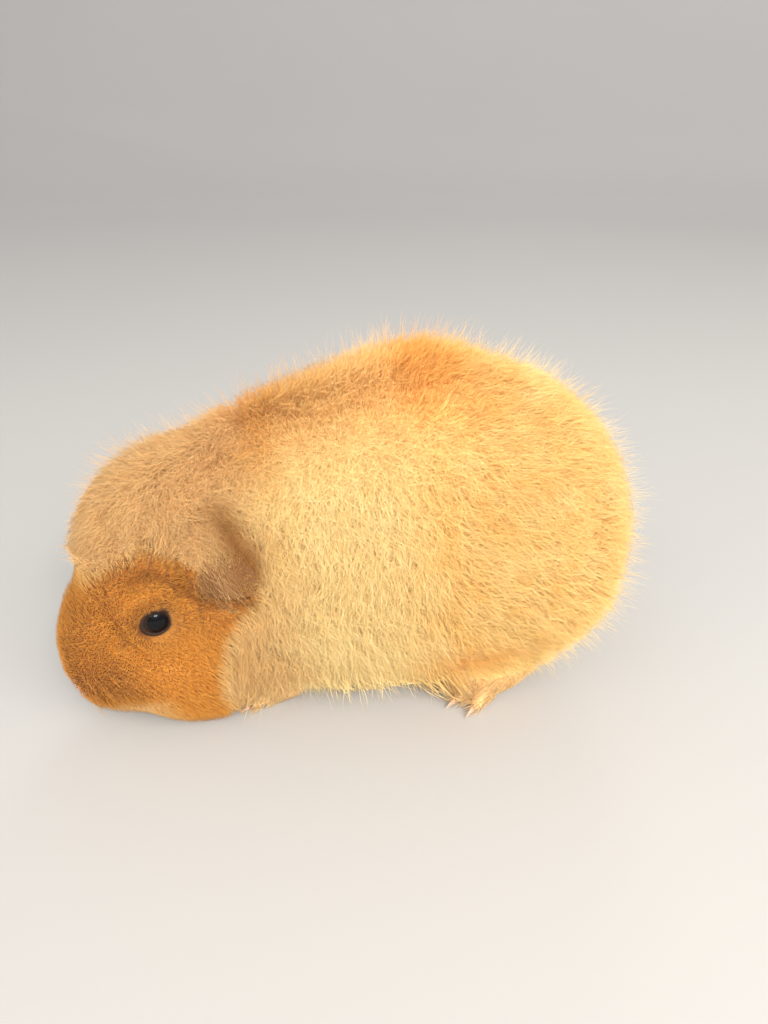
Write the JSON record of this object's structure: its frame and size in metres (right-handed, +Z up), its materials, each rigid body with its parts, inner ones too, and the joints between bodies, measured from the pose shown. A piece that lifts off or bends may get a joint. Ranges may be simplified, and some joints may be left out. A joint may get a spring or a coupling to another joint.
{
  "type": "guinea pig",
  "caption": "Still life-size guinea pig with a long frizzy golden coat, crouched on the floor with its head low and turned a little to its left.",
  "frame": {"origin": "middle of the bounding box at floor level, under the belly", "axes": "+Z up, head towards -X, rump towards +X, the animal's left side towards -Y"},
  "size_m": [0.194, 0.1088, 0.124],
  "materials": {
    "fur_gold": "long frizzy golden fur, matt with a soft sheen",
    "fur_pale": "pale golden fur over the shoulders and flanks",
    "fur_cream": "cream fur of the ruff, crown and chin",
    "fur_ginger": "short flat ginger fur of the face",
    "fur_straw": "short straw-coloured fur of the feet",
    "eye": "wet, glossy and nearly black",
    "ear_skin": "thin, grey-brown and softly wrinkled",
    "nose_skin": "soft and slightly moist",
    "claw": "pale translucent horn"
  },
  "bodies": {
    "root": {"head": "fur_ginger", "lower_jaw": "fur_cream", "nose": "nose_skin", "neck": "fur_cream", "trunk": "fur_pale", "rump": "fur_gold", "eye_left": "eye", "ear_left": "ear_skin", "foreleg_left": "fur_pale", "hindleg_left": "fur_gold", "forefoot_left": "fur_straw", "hindfoot_left": "fur_straw", "forefoot_left_claw_1": "claw", "forefoot_left_claw_2": "claw", "forefoot_left_claw_3": "claw", "forefoot_left_claw_4": "claw", "hindfoot_left_claw_1": "claw", "hindfoot_left_claw_2": "claw", "hindfoot_left_claw_3": "claw", "eye_right": "eye", "ear_right": "ear_skin", "foreleg_right": "fur_pale", "hindleg_right": "fur_gold", "forefoot_right": "fur_straw", "hindfoot_right": "fur_straw", "forefoot_right_claw_1": "claw", "forefoot_right_claw_2": "claw", "forefoot_right_claw_3": "claw", "forefoot_right_claw_4": "claw", "hindfoot_right_claw_1": "claw", "hindfoot_right_claw_2": "claw", "hindfoot_right_claw_3": "claw"}
  },
  "joints": []
}
